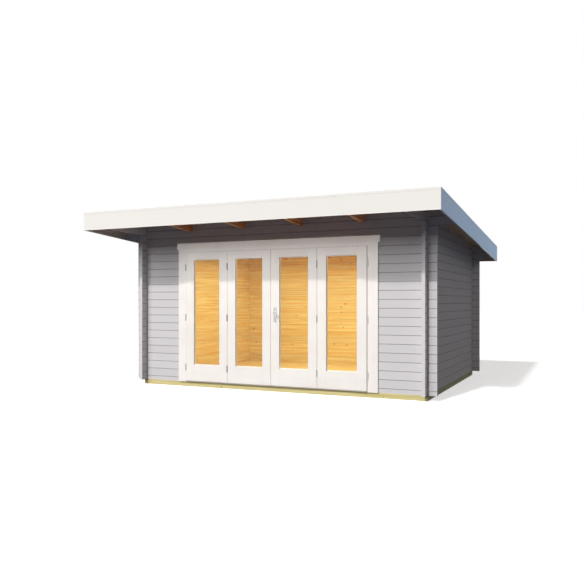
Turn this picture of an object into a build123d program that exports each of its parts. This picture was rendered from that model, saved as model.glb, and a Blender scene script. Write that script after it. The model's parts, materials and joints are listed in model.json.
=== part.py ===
from build123d import *
import math
import os

# Garden office pod in interlocking logs, with a single-slope roof and a folding glazed door.
# All sizes are in mm. X runs along the front, Y from front to back, Z up from the ground.
# The pieces are drawn with Y = 0 on the front wall's outer face and X = 0 midway between the side
# walls. The finished part's origin is on the ground under the middle of the roof.

# Log walls
wall_width = 4310
wall_depth = 3290
log_thick = 44
course = 114
log_end = 120
groove_high = 9
groove_deep = 4
corner_play = 0.5

# Base
bearer_high = 69
bearer_wide = 70
joist_wide = 45
joist_count = 6
floor_thick = 19
floor_play = 3

# Roof
over_door = 345
roof_fall = 3.89
rafter_high = 150
rafter_wide = 45
rafter_pitch = 878
rafter_count = 4
rafter_play = 0.5
roof_board = 18
covering = 3
front_overhang = 912
back_overhang = 331
side_overhang = 362
fascia_thick = 20
fascia_high = 250
fascia_lip = 2

# Door frame and casings
frame_lap = 14
frame_wide = 64
frame_play = 2
head_least = 70
casing_wide = 142
casing_thick = 23
casing_gap = 6
head_board_high = 88
head_board_rise = 25
head_board_ear = 27
threshold_high = 17
threshold_nose = 11
threshold_out = 38
frame_nose = 15
nose_play = 3

# Door leaves and panes
leaf_wide = 684
leaf_high = 1866
leaf_thick = 42
leaf_gap = 4
leaf_back_gap = 1
leaf_bottom_gap = 3
stile_wide = 128
top_rail = 110
bottom_rail = 233
pane_thick = 4
pane_setback = 28
pane_lap = 10
pane_play = 0.5
pane_groove = 12

# Hinges and handle
hinge_high = 96
hinge_radius = 7
hinge_leg = 24
hinge_out = 19
hinge_plate = 3
hinge_low = 195
hinge_middle = 918
hinge_top = 1648
plate_wide = 42
plate_high = 205
plate_thick = 8
plate_level = 973
lever_level = 1004
lever_out = 42
lever_long = 82
lever_drop = 38
lever_radius = 8

# Planes and levels that the pieces share
base_top = bearer_high
half_width = wall_width / 2
slope = math.tan(math.radians(roof_fall))
roof_front = -front_overhang
roof_back = wall_depth + back_overhang
roof_side = half_width + side_overhang
inner_front = roof_front + fascia_thick
inner_back = roof_back - fascia_thick
inner_side = roof_side - fascia_thick

leaf_foot = base_top + threshold_high + leaf_bottom_gap
leaf_top = leaf_foot + leaf_high
leaf_back = -leaf_back_gap
leaf_face = leaf_back - leaf_thick
leaves_half = 2 * leaf_wide + 1.5 * leaf_gap
jamb_inner = leaves_half - frame_lap
jamb_outer = jamb_inner + frame_wide
doorway_half = jamb_outer + frame_play
casing_inner = leaves_half + casing_gap
casing_outer = casing_inner + casing_wide

# The doorway ends at a joint between two logs of the front wall
joints_to_doorway = math.ceil((leaf_top + head_least - base_top) / course - 0.5)
doorway_top = base_top + (joints_to_doorway + 0.5) * course
eaves = doorway_top + over_door
frame_top = doorway_top - frame_play
head_board_top = doorway_top + head_board_rise
head_board_low = head_board_top - head_board_high


def board_under(y):
    return eaves - slope * y


def covering_top(y):
    return board_under(y) + roof_board + covering


def fascia_top(y):
    return covering_top(y) + fascia_lip


def rafter_under(y):
    return board_under(y) - rafter_high


def block(x0, x1, y0, y1, z0, z1):
    return Pos((x0 + x1) / 2, (y0 + y1) / 2, (z0 + z1) / 2) * Box(x1 - x0, y1 - y0, z1 - z0)


def along_x(points, x0, x1):
    outline = Polyline(*[(x0, y, z) for y, z in points], close=True)
    return extrude(make_face(outline), amount=x1 - x0, dir=(1, 0, 0))


def along_y(points, y0, y1):
    outline = Polyline(*[(x, y0, z) for x, z in points], close=True)
    return extrude(make_face(outline), amount=y1 - y0, dir=(0, 1, 0))


def upright(points, z0, z1):
    outline = Polyline(*[(x, y, z0) for x, y in points], close=True)
    return extrude(make_face(outline), amount=z1 - z0, dir=(0, 0, 1))


# A slab that follows the roof's fall, between two heights above the boards' underside
def roof_slab(x0, x1, y0, y1, low, high):
    points = [
        (y0, board_under(y0) + low),
        (y1, board_under(y1) + low),
        (y1, board_under(y1) + high),
        (y0, board_under(y0) + high),
    ]
    return along_x(points, x0, x1)


def above_roof_line():
    reach = wall_width
    return roof_slab(-reach, reach, roof_front - reach, roof_back + reach, 0, reach)


# Section of a log wall: two faces with a V groove at each joint
def log_section(face_a, face_b, top, first_joint):
    inward = groove_deep if face_b > face_a else -groove_deep
    joints = []
    level = first_joint
    while level < top:
        if level > base_top + course / 4 and level < top - course / 4:
            joints.append(level)
        level += course
    points = [(face_a, base_top)]
    for level in joints:
        points.append((face_a, level - groove_high / 2))
        points.append((face_a + inward, level))
        points.append((face_a, level + groove_high / 2))
    points.append((face_a, top))
    points.append((face_b, top))
    for level in reversed(joints):
        points.append((face_b, level + groove_high / 2))
        points.append((face_b - inward, level))
        points.append((face_b, level - groove_high / 2))
    points.append((face_b, base_top))
    return points


# Slots that let the crossing wall's necks through at one corner
def neck_slots(x0, x1, y0, y1, first, top):
    slots = []
    low = first
    while low < top:
        slots.append(block(x0, x1, y0, y1, low - corner_play, low + course / 2 + corner_play))
        low += course
    return slots


# Front and back walls start with half a log, so their joints lie between those of the side walls
def cross_wall(y0):
    y1 = y0 + log_thick
    top = board_under(y0)
    wall = along_x(log_section(y0, y1, top, base_top + course / 2), -inner_side, inner_side)
    corbel = math.floor((rafter_under(y0) - base_top) / course - 0.5)
    corbel_level = base_top + (corbel + 0.5) * course
    ends = half_width + log_end
    cuts = [above_roof_line()]
    for side in (-1, 1):
        x_out = side * (inner_side + log_end)
        x_end = side * ends
        cuts.append(block(min(x_out, x_end), max(x_out, x_end), y0 - 1, y1 + 1, 0, corbel_level))
        x_face = side * half_width
        x_back = side * (half_width - log_thick)
        low_x = min(x_face, x_back) - corner_play
        high_x = max(x_face, x_back) + corner_play
        cuts.extend(neck_slots(low_x, high_x, y0 - 1, y1 + 1, base_top + course / 4, top))
    for x in rafter_centres():
        half = rafter_wide / 2 + rafter_play
        cuts.append(roof_slab(x - half, x + half, y0 - 1, y1 + 1, -rafter_high, 1))
    return wall - cuts


def side_wall(side):
    x_face = side * half_width
    x_back = side * (half_width - log_thick)
    top = board_under(inner_front)
    wall = along_y(log_section(x_face, x_back, top, base_top), inner_front, inner_back)
    low_x = min(x_face, x_back) - 1
    high_x = max(x_face, x_back) + 1
    front_corbel = base_top + math.floor((rafter_under(0) - base_top) / course) * course
    back_corbel = base_top + math.floor((rafter_under(wall_depth) - base_top) / course) * course
    cuts = [above_roof_line()]
    cuts.append(block(low_x, high_x, inner_front - 1, -log_end, 0, front_corbel))
    cuts.append(block(low_x, high_x, wall_depth + log_end, inner_back + 1, 0, back_corbel))
    for y0 in (0, wall_depth - log_thick):
        low_y = y0 - corner_play
        high_y = y0 + log_thick + corner_play
        first = base_top - course / 4
        cuts.extend(neck_slots(low_x, high_x, low_y, high_y, first, board_under(y0)))
    return wall - cuts


def rafter_centres():
    middle = (rafter_count - 1) / 2
    return [(i - middle) * rafter_pitch for i in range(rafter_count)]


def front_walls():
    wall = cross_wall(0)
    reach = roof_side + log_end
    left = wall & block(-reach, -doorway_half, -1, log_thick + 1, 0, doorway_top)
    right = wall & block(doorway_half, reach, -1, log_thick + 1, 0, doorway_top)
    over = wall & block(-reach, reach, -1, log_thick + 1, doorway_top, eaves + course)
    return left, right, over


def floor_joists():
    first = -half_width + bearer_wide
    last = half_width - bearer_wide
    pitch = (last - first) / (joist_count + 1)
    joists = []
    for i in range(joist_count):
        x = first + (i + 1) * pitch
        y0 = bearer_wide
        y1 = wall_depth - bearer_wide
        joists.append(block(x - joist_wide / 2, x + joist_wide / 2, y0, y1, 0, bearer_high))
    return Compound(joists)


# The jambs and the head have a nose that fills the gap round the leaves, in front of the wall
def door_jamb(side):
    body = block(jamb_inner, jamb_outer, 0, log_thick, base_top, frame_top)
    nose_foot = base_top + threshold_high
    nose = block(leaves_half + nose_play, casing_inner, -frame_nose, 0, nose_foot, leaf_top + nose_play)
    jamb = body + nose
    return jamb if side > 0 else mirror(jamb, about=Plane.YZ)


def door_head():
    body = block(-jamb_inner, jamb_inner, 0, log_thick, leaf_top - frame_lap, frame_top)
    nose = block(-casing_inner, casing_inner, -frame_nose, 0, leaf_top + nose_play, head_board_low)
    return body + nose


def door_leaf(x0):
    x1 = x0 + leaf_wide
    leaf = block(x0, x1, leaf_face, leaf_back, leaf_foot, leaf_top)
    low = leaf_foot + bottom_rail
    high = leaf_top - top_rail
    sight = block(x0 + stile_wide, x1 - stile_wide, leaf_face - 1, leaf_back + 1, low, high)
    pane_front = leaf_face + pane_setback
    groove = block(
        x0 + stile_wide - pane_groove,
        x1 - stile_wide + pane_groove,
        pane_front - pane_play,
        pane_front + pane_thick + pane_play,
        low - pane_lap,
        high + pane_groove,
    )
    return leaf - [sight, groove]


# The pane stands on the floor of its groove
def pane(x0):
    x1 = x0 + leaf_wide
    pane_front = leaf_face + pane_setback
    return block(
        x0 + stile_wide - pane_lap,
        x1 - stile_wide + pane_lap,
        pane_front,
        pane_front + pane_thick,
        leaf_foot + bottom_rail - pane_lap,
        leaf_top - top_rail + pane_lap,
    )


# Between two leaves a hinge is a knuckle in front of the gap, with a leg that fills the gap behind it
def fold_hinge(x0, level):
    x1 = x0 + leaf_gap
    y = leaf_face - hinge_radius
    z0 = leaf_foot + level - hinge_high / 2
    z1 = z0 + hinge_high
    knuckle = Pos((x0 + x1) / 2, y, (z0 + z1) / 2) * Cylinder(hinge_radius, hinge_high)
    leg = block(x0, x1, y, leaf_face + hinge_leg, z0, z1)
    return knuckle + leg


# At the frame its knuckle lies on the casing, with a plate that reaches the leaf's edge
def frame_hinge(side, level):
    edge = side * leaves_half
    x = edge + side * hinge_out
    z0 = leaf_foot + level - hinge_high / 2
    z1 = z0 + hinge_high
    knuckle = Pos(x, -casing_thick - hinge_radius, (z0 + z1) / 2) * Cylinder(hinge_radius, hinge_high)
    plate = block(min(edge, x), max(edge, x), -casing_thick - hinge_plate, -casing_thick, z0, z1)
    return knuckle + plate


def hinge_line(make_hinge, place):
    levels = (hinge_low, hinge_middle, hinge_top)
    return Compound([make_hinge(place, level) for level in levels])


def handle_plate(x):
    straight = plate_high - plate_wide
    z = leaf_foot + plate_level
    y = leaf_face - plate_thick / 2
    plate = Pos(x, y, z) * Box(plate_wide, plate_thick, straight)
    for end in (-1, 1):
        round_end = Rot(90, 0, 0) * Cylinder(plate_wide / 2, plate_thick)
        plate = plate + Pos(x, y, z + end * straight / 2) * round_end
    return plate


def handle_lever(x):
    z = leaf_foot + lever_level
    y0 = leaf_face - plate_thick
    y1 = y0 - lever_out
    neck = Pos(x, (y0 + y1) / 2, z) * Rot(90, 0, 0) * Cylinder(lever_radius, lever_out)
    bend = lever_long * 0.45
    path = Spline([(x, y1, z), (x + bend, y1, z - lever_drop), (x + lever_long, y1, z - lever_drop)],
                  tangents=[(1, 0, -0.5), (1, 0, 0)])
    bar = sweep(Plane(origin=path @ 0, z_dir=path % 0) * Circle(lever_radius), path=path)
    tip = Pos(x + lever_long, y1, z - lever_drop) * Sphere(lever_radius)
    heel = Pos(x, y1, z) * Sphere(lever_radius)
    return neck + heel + bar + tip


# The four fascias meet in mitres at the corners
def end_fascia(outer_y, inner_y, top):
    corners = [(-roof_side, outer_y), (roof_side, outer_y), (inner_side, inner_y), (-inner_side, inner_y)]
    return upright(corners, top - fascia_high, top)


def side_fascia(side):
    outer_x = side * roof_side
    inner_x = side * inner_side
    rise = roof_board + covering + fascia_lip
    x0 = min(outer_x, inner_x)
    x1 = max(outer_x, inner_x)
    slab = roof_slab(x0, x1, roof_front, roof_back, rise - fascia_high, rise)
    corners = [(outer_x, roof_front), (outer_x, roof_back), (inner_x, inner_back), (inner_x, inner_front)]
    return slab & upright(corners, 0, eaves + wall_depth)


pieces = {}

# Base
pieces["bearer_front"] = block(-half_width, half_width, 0, bearer_wide, 0, bearer_high)
pieces["bearer_back"] = block(-half_width, half_width, wall_depth - bearer_wide, wall_depth, 0, bearer_high)
bearer_y0 = bearer_wide
bearer_y1 = wall_depth - bearer_wide
pieces["bearer_left"] = block(-half_width, -half_width + bearer_wide, bearer_y0, bearer_y1, 0, bearer_high)
pieces["bearer_right"] = block(half_width - bearer_wide, half_width, bearer_y0, bearer_y1, 0, bearer_high)
pieces["floor_joists"] = floor_joists()
floor_x = half_width - log_thick - floor_play
floor_y0 = log_thick + floor_play
floor_y1 = wall_depth - log_thick - floor_play
pieces["floor_boards"] = block(-floor_x, floor_x, floor_y0, floor_y1, base_top, base_top + floor_thick)

# Walls
front_left, front_right, front_over = front_walls()
pieces["front_wall_left"] = front_left
pieces["front_wall_right"] = front_right
pieces["front_wall_top"] = front_over
pieces["back_wall"] = cross_wall(wall_depth - log_thick)
pieces["left_wall"] = side_wall(-1)
pieces["right_wall"] = side_wall(1)

# Roof
for i, x in enumerate(rafter_centres()):
    x0 = x - rafter_wide / 2
    x1 = x + rafter_wide / 2
    pieces[f"rafter_{i + 1}"] = roof_slab(x0, x1, inner_front, inner_back, -rafter_high, 0)
pieces["roof_boards"] = roof_slab(-inner_side, inner_side, inner_front, inner_back, 0, roof_board)
covering_low = roof_board
covering_high = roof_board + covering
pieces["roof_covering"] = roof_slab(-inner_side, inner_side, inner_front, inner_back, covering_low, covering_high)
for name, side in (("left", -1), ("right", 1)):
    pieces[f"fascia_{name}"] = side_fascia(side)
pieces["fascia_front"] = end_fascia(roof_front, inner_front, fascia_top(roof_front))
pieces["fascia_back"] = end_fascia(roof_back, inner_back, fascia_top(roof_back))

# Door frame
pieces["door_jamb_left"] = door_jamb(-1)
pieces["door_jamb_right"] = door_jamb(1)
pieces["door_head"] = door_head()
sill = block(-jamb_inner, jamb_inner, 0, log_thick, base_top, base_top + threshold_high)
nose_half = casing_inner - frame_play
nose_low = base_top + threshold_high - threshold_nose
nose = block(-nose_half, nose_half, -threshold_out, 0, nose_low, base_top + threshold_high)
pieces["door_threshold"] = sill + nose

# Casing boards
pieces["casing_left"] = block(-casing_outer, -casing_inner, -casing_thick, 0, base_top, head_board_low)
pieces["casing_right"] = block(casing_inner, casing_outer, -casing_thick, 0, base_top, head_board_low)
head_half = casing_outer + head_board_ear
pieces["casing_head"] = block(-head_half, head_half, -casing_thick, 0, head_board_low, head_board_top)

# Leaves, panes and hinges
leaf_starts = [-leaves_half + i * (leaf_wide + leaf_gap) for i in range(4)]
for i, x0 in enumerate(leaf_starts):
    pieces[f"door_leaf_{i + 1}"] = door_leaf(x0)
    pieces[f"door_pane_{i + 1}"] = pane(x0)
fold_start = leaf_starts[3] - leaf_gap
pieces["door_hinges_1"] = hinge_line(frame_hinge, -1)
pieces["door_hinges_2"] = hinge_line(fold_hinge, -fold_start - leaf_gap)
pieces["door_hinges_3"] = hinge_line(fold_hinge, fold_start)
pieces["door_hinges_4"] = hinge_line(frame_hinge, 1)

# Handle on the first stile right of the middle
handle_x = leaf_starts[2] + stile_wide / 2
pieces["handle_plate"] = handle_plate(handle_x)
pieces["handle_lever"] = handle_lever(handle_x)

roof_middle = (roof_front + roof_back) / 2
os.makedirs("parts", exist_ok=True)
for name, shape in pieces.items():
    export_step(Pos(0, -roof_middle, 0) * shape, f"parts/{name}.step")
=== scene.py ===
import json
import math

import bmesh
import bpy
from mathutils import Matrix, Vector

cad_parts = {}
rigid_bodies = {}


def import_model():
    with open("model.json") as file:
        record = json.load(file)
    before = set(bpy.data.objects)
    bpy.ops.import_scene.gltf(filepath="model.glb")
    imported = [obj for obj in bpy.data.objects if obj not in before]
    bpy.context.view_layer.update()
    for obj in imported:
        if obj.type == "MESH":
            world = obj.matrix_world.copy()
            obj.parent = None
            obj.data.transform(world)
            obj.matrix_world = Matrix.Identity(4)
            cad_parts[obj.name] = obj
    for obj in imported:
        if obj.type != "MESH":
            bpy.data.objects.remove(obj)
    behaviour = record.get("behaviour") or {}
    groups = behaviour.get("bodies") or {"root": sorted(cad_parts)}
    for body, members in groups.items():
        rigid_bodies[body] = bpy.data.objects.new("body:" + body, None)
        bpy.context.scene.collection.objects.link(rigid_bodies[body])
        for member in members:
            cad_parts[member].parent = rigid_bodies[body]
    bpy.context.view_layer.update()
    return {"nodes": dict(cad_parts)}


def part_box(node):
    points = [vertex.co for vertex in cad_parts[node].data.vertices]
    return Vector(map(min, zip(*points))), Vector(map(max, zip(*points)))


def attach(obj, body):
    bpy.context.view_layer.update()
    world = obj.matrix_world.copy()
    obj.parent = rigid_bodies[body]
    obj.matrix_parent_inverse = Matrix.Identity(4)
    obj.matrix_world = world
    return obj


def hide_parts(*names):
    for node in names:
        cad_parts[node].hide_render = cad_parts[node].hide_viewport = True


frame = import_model()
print("frame loaded:", len(frame["nodes"]), "nodes")

mm = 0.001


# sRGB hex to the linear colour that sockets take
def hexColour(code):
    channels = [int(code[i:i + 2], 16) / 255 for i in (1, 3, 5)]
    linear = [c / 12.92 if c <= 0.04045 else ((c + 0.055) / 1.055) ** 2.4 for c in channels]
    return (*linear, 1.0)


# Adds one node; settings are its own properties, values its sockets' numbers, links its inputs
def addNode(tree, kind, settings=None, values=None, links=None):
    node = tree.nodes.new(kind)
    for name, value in (settings or {}).items():
        setattr(node, name, value)
    for name, value in (values or {}).items():
        node.inputs[name].default_value = value
    for name, socket in (links or {}).items():
        tree.links.new(socket, node.inputs[name])
    return node


def newMaterial(name):
    material = bpy.data.materials.new(name)
    material.use_nodes = True
    tree = material.node_tree
    tree.nodes.clear()
    return material, tree


# A shallow relief that follows a pattern, as strong and as deep as the look says
def addRelief(tree, look, pattern):
    strength = {"Strength": look["relief"], "Distance": look["reliefDeep"]}
    return addNode(tree, "ShaderNodeBump", values=strength, links={"Height": pattern}).outputs[0]


def finishMaterial(tree, values, links):
    shader = addNode(tree, "ShaderNodeBsdfPrincipled", values=values, links=links)
    addNode(tree, "ShaderNodeOutputMaterial", links={"Surface": shader.outputs[0]})


# Position in metres, turned so that the grain runs along the first axis
def grainPlace(tree, grainAxis):
    place = addNode(tree, "ShaderNodeTexCoord").outputs["Object"]
    split = addNode(tree, "ShaderNodeSeparateXYZ", links={0: place})
    order = {"X": (0, 1, 2), "Y": (1, 0, 2), "Z": (2, 0, 1)}[grainAxis]
    joined = addNode(tree, "ShaderNodeCombineXYZ",
                     links={i: split.outputs[order[i]] for i in range(3)})
    return joined.outputs[0]


# Which board or log the point lies on, counted along an axis, as a whole and as a broken number
def boardNumber(tree, axisSocket, start, width):
    moved = addNode(tree, "ShaderNodeMath", {"operation": "SUBTRACT"}, {1: start}, {0: axisSocket})
    counted = addNode(tree, "ShaderNodeMath", {"operation": "DIVIDE"}, {1: width},
                      {0: moved.outputs[0]})
    whole = addNode(tree, "ShaderNodeMath", {"operation": "FLOOR"}, links={0: counted.outputs[0]})
    return whole.outputs[0], counted.outputs[0]


# The refractive index of wood, paint and coatings
coatIor = 1.5

# Bare planed pine; other woods change its colours. Lengths are in metres, "varied" is how far
# boards differ in tone, "shift" moves the pattern from board to board.
pine = {
    "pale": "#F6E798",
    "deep": "#E6B13C",
    "knot": "#8A481A",
    "streakLong": 0.7,
    "streakWide": 0.013,
    "streakDetail": 4.0,
    "patchLong": 1.6,
    "patchWide": 0.05,
    "patchDetail": 2.0,
    "patchShare": 0.2,
    "uneven": 0.6,
    "wavy": 0.2,
    "paleBelow": 0.38,
    "deepAbove": 0.64,
    "knotEvery": 0.27,
    "knotLeast": 0.001,
    "knotSize": 0.019,
    "knotShare": 0.5,
    "knotDark": 2.0,
    "varied": 0.045,
    "shift": 3.71,
    "roughness": 0.45,
    "relief": 0.3,
    "reliefDeep": 0.7 * mm,
}


# Planed softwood: fine long streaks, broader soft patches, darker late wood and scattered round
# knots. Streaks are drawn about 13 mm wide, coarser than real rings, so that they show.
def drawPine(tree, grainAxis, boardSocket, look):
    place = grainPlace(tree, grainAxis)
    shift = addNode(tree, "ShaderNodeMath", {"operation": "MULTIPLY"}, {1: look["shift"]},
                    {0: boardSocket})
    offset = addNode(tree, "ShaderNodeCombineXYZ", links={0: shift.outputs[0]})
    moved = addNode(tree, "ShaderNodeVectorMath", {"operation": "ADD"},
                    links={0: place, 1: offset.outputs[0]})
    grain = []
    for kind in ("streak", "patch"):
        long, wide = look[kind + "Long"], look[kind + "Wide"]
        stretched = addNode(tree, "ShaderNodeVectorMath", {"operation": "MULTIPLY"},
                            {1: (1 / long, 1 / wide, 1 / wide)}, {0: moved.outputs[0]})
        noise = {"Scale": 1.0, "Detail": look[kind + "Detail"], "Roughness": look["uneven"],
                 "Distortion": look["wavy"]}
        grain.append(addNode(tree, "ShaderNodeTexNoise", values=noise,
                             links={0: stretched.outputs[0]}))
    streaks, patches = grain
    mixed = addNode(tree, "ShaderNodeMix", {"data_type": "FLOAT"}, {0: look["patchShare"]},
                    {2: streaks.outputs[0], 3: patches.outputs[0]})
    tone = addNode(tree, "ShaderNodeMapRange", values={1: look["paleBelow"], 2: look["deepAbove"]},
                   links={0: mixed.outputs[0]})
    wood = addNode(tree, "ShaderNodeMix", {"data_type": "RGBA"},
                   {6: hexColour(look["pale"]), 7: hexColour(look["deep"])}, {0: tone.outputs[0]})
    # Knots lie on a flat grid of cells, so that each face of a board shows its share of them
    parts = addNode(tree, "ShaderNodeSeparateXYZ", links={0: moved.outputs[0]})
    across = addNode(tree, "ShaderNodeMath", {"operation": "ADD"},
                     links={0: parts.outputs[1], 1: parts.outputs[2]})
    flat = addNode(tree, "ShaderNodeCombineXYZ", links={0: parts.outputs[0], 1: across.outputs[0]})
    cells = addNode(tree, "ShaderNodeTexVoronoi", {"voronoi_dimensions": "2D"},
                    {"Scale": 1 / look["knotEvery"]}, {0: flat.outputs[0]})
    chance = addNode(tree, "ShaderNodeSeparateColor", links={0: cells.outputs["Color"]})
    radius = addNode(tree, "ShaderNodeMapRange",
                     values={1: 1.0 - look["knotShare"], 2: 1.0, 3: look["knotLeast"],
                             4: look["knotSize"] / look["knotEvery"]},
                     links={0: chance.outputs[0]})
    knots = addNode(tree, "ShaderNodeMapRange", values={1: 0.0, 3: look["knotDark"], 4: 0.0},
                    links={0: cells.outputs["Distance"], 2: radius.outputs[0]})
    share = addNode(tree, "ShaderNodeTexWhiteNoise", {"noise_dimensions": "1D"},
                    links={"W": boardSocket})
    bright = addNode(tree, "ShaderNodeMapRange",
                     values={3: 1.0 - look["varied"], 4: 1.0 + look["varied"]},
                     links={0: share.outputs[0]})
    varied = addNode(tree, "ShaderNodeHueSaturation",
                     links={"Value": bright.outputs[0], "Color": wood.outputs[2]})
    knotted = addNode(tree, "ShaderNodeMix", {"data_type": "RGBA"}, {7: hexColour(look["knot"])},
                      {0: knots.outputs[0], 6: varied.outputs[0]})
    return knotted.outputs[2], streaks.outputs[0]


# Wall logs. Outside: pale grey microporous paint on planed spruce, an even matt skin that lets
# the grain through as a faint relief. Inside: bare planed pine, warm and streaky.
logWall = {
    "paint": "#D8D5D6",
    "course": 114 * mm,
    # joint and jointInside are the colours of the painted shade in the log joints; jointShade and
    # jointShadeInside say how far it darkens
    "joint": "#000000",
    "jointHalf": 5.5 * mm,
    "jointShade": 0.3,
    "jointInside": "#6E3A0E",
    "jointHalfInside": 4.5 * mm,
    "jointShadeInside": 0.85,
    "jointEdge": 0.002,
    "endFrom": 0.6,
    "endFull": 0.9,
    "endPaintedLight": 1.05,
    "sawnFrom": 0.75,
    "paleLog": 1.01,
    "darkLog": 0.98,
    "paintRoughness": 0.8,
    "pineRoughness": 0.48,
    "relief": 0.25,
    "reliefDeep": 0.6 * mm,
}


def logMaterial(name, grainAxis, firstJoint):
    material, tree = newMaterial(name)
    split = addNode(tree, "ShaderNodeSeparateXYZ",
                    links={0: addNode(tree, "ShaderNodeTexCoord").outputs["Object"]})
    number, counted = boardNumber(tree, split.outputs[2], firstJoint, logWall["course"])
    pineColour, streaks = drawPine(tree, grainAxis, number, pine)
    facing = addNode(tree, "ShaderNodeSeparateXYZ",
                     links={0: addNode(tree, "ShaderNodeTexCoord").outputs["Normal"]})
    # Sawn ends are painted a little paler than the faces of the logs: painted light
    along = addNode(tree, "ShaderNodeMath", {"operation": "ABSOLUTE"},
                    links={0: facing.outputs["XY".index(grainAxis)]})
    end = addNode(tree, "ShaderNodeMapRange",
                  values={1: logWall["endFrom"], 2: logWall["endFull"], 3: 1.0,
                          4: logWall["endPaintedLight"]},
                  links={0: along.outputs[0]})
    chance = addNode(tree, "ShaderNodeTexWhiteNoise", {"noise_dimensions": "1D"},
                     links={"W": number})
    bright = addNode(tree, "ShaderNodeMapRange",
                     values={3: logWall["darkLog"], 4: logWall["paleLog"]},
                     links={0: chance.outputs[0]})
    level = addNode(tree, "ShaderNodeMath", {"operation": "MULTIPLY"},
                    links={0: bright.outputs[0], 1: end.outputs[0]})
    paint = addNode(tree, "ShaderNodeHueSaturation", values={"Color": hexColour(logWall["paint"])},
                    links={"Value": level.outputs[0]})
    # The room's side of the walls' middle plane is bare wood
    inside = None
    for axis, (low, high) in ((0, roomSpan["x"]), (1, roomSpan["y"])):
        above = addNode(tree, "ShaderNodeMath", {"operation": "GREATER_THAN"}, {1: low},
                        {0: split.outputs[axis]})
        below = addNode(tree, "ShaderNodeMath", {"operation": "LESS_THAN"}, {1: high},
                        {0: split.outputs[axis]})
        both = addNode(tree, "ShaderNodeMath", {"operation": "MULTIPLY"},
                       links={0: above.outputs[0], 1: below.outputs[0]})
        if inside:
            both = addNode(tree, "ShaderNodeMath", {"operation": "MULTIPLY"},
                           links={0: inside.outputs[0], 1: both.outputs[0]})
        inside = both
    skin = addNode(tree, "ShaderNodeMix", {"data_type": "RGBA"},
                   links={0: inside.outputs[0], 6: paint.outputs[0], 7: pineColour})
    # Painted shade darkens each joint between two logs, black outside and brown inside, but not on
    # the sawn ends
    part = addNode(tree, "ShaderNodeMath", {"operation": "FRACT"}, links={0: counted})
    side = addNode(tree, "ShaderNodeMath", {"operation": "PINGPONG"}, {1: 0.5},
                   {0: part.outputs[0]})
    reach = addNode(tree, "ShaderNodeMapRange",
                    values={3: logWall["jointHalf"] / logWall["course"],
                            4: logWall["jointHalfInside"] / logWall["course"]},
                    links={0: inside.outputs[0]})
    deep = addNode(tree, "ShaderNodeMapRange",
                   values={3: 1.0 - logWall["jointShade"], 4: 1.0 - logWall["jointShadeInside"]},
                   links={0: inside.outputs[0]})
    groove = addNode(tree, "ShaderNodeMapRange", {"interpolation_type": "SMOOTHSTEP"},
                     {1: logWall["jointEdge"], 4: 0.0},
                     {0: side.outputs[0], 2: reach.outputs[0], 3: deep.outputs[0]})
    face = addNode(tree, "ShaderNodeMath", {"operation": "LESS_THAN"}, {1: logWall["sawnFrom"]},
                   {0: along.outputs[0]})
    joint = addNode(tree, "ShaderNodeMath", {"operation": "MULTIPLY"},
                    links={0: groove.outputs[0], 1: face.outputs[0]})
    paintedGrooveShade = addNode(tree, "ShaderNodeMix", {"data_type": "RGBA"},
                   {6: hexColour(logWall["joint"]), 7: hexColour(logWall["jointInside"])},
                   {0: inside.outputs[0]})
    shaded = addNode(tree, "ShaderNodeMix", {"data_type": "RGBA"},
                     links={0: joint.outputs[0], 6: skin.outputs[2], 7: paintedGrooveShade.outputs[2]})
    rough = addNode(tree, "ShaderNodeMapRange",
                    values={3: logWall["paintRoughness"], 4: logWall["pineRoughness"]},
                    links={0: inside.outputs[0]})
    finishMaterial(tree, {"IOR": coatIor},
                   {"Base Color": shaded.outputs[2], "Roughness": rough.outputs[0],
                    "Normal": addRelief(tree, logWall, streaks)})
    return material


# Sawn or planed boards of bare wood; each board has its own tone
def boardMaterial(name, grainAxis, acrossAxis, start, width, look):
    material, tree = newMaterial(name)
    split = addNode(tree, "ShaderNodeSeparateXYZ",
                    links={0: addNode(tree, "ShaderNodeTexCoord").outputs["Object"]})
    number = boardNumber(tree, split.outputs["XYZ".index(acrossAxis)], start, width)[0]
    colour, streaks = drawPine(tree, grainAxis, number, look)
    finishMaterial(tree, {"IOR": coatIor, "Roughness": look["roughness"]},
                   {"Base Color": colour, "Normal": addRelief(tree, look, streaks)})
    return material


# Brushed acrylic paint on planed joinery: satin, with a faint grain and hardly any tone change
joineryPaint = {
    "colour": "#F6F1EC",
    "shade": "#F0EAE4",
    "brushed": (4, 160, 160),
    "brushDetail": 3.0,
    "cloudScale": 2.2,
    "cloudDetail": 2.0,
    "cleanBelow": 0.35,
    "shadeAbove": 0.7,
    "smoothest": 0.37,
    "roughest": 0.5,
    "relief": 0.12,
    "reliefDeep": 0.3 * mm,
}


def joineryMaterial(name, grainAxis):
    look = joineryPaint
    material, tree = newMaterial(name)
    place = grainPlace(tree, grainAxis)
    fine = addNode(tree, "ShaderNodeVectorMath", {"operation": "MULTIPLY"}, {1: look["brushed"]},
                   {0: place})
    fibre = addNode(tree, "ShaderNodeTexNoise",
                    values={"Scale": 1.0, "Detail": look["brushDetail"]},
                    links={0: fine.outputs[0]})
    cloud = addNode(tree, "ShaderNodeTexNoise",
                    values={"Scale": look["cloudScale"], "Detail": look["cloudDetail"]},
                    links={0: place})
    tone = addNode(tree, "ShaderNodeMapRange",
                   values={1: look["cleanBelow"], 2: look["shadeAbove"]},
                   links={0: cloud.outputs[0]})
    colour = addNode(tree, "ShaderNodeMix", {"data_type": "RGBA"},
                     {6: hexColour(look["colour"]), 7: hexColour(look["shade"])},
                     {0: tone.outputs[0]})
    rough = addNode(tree, "ShaderNodeMapRange", values={3: look["smoothest"], 4: look["roughest"]},
                    links={0: fibre.outputs[0]})
    finishMaterial(tree, {"IOR": coatIor},
                   {"Base Color": colour.outputs[2], "Roughness": rough.outputs[0],
                    "Normal": addRelief(tree, look, fibre.outputs[0])})
    return material


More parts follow.
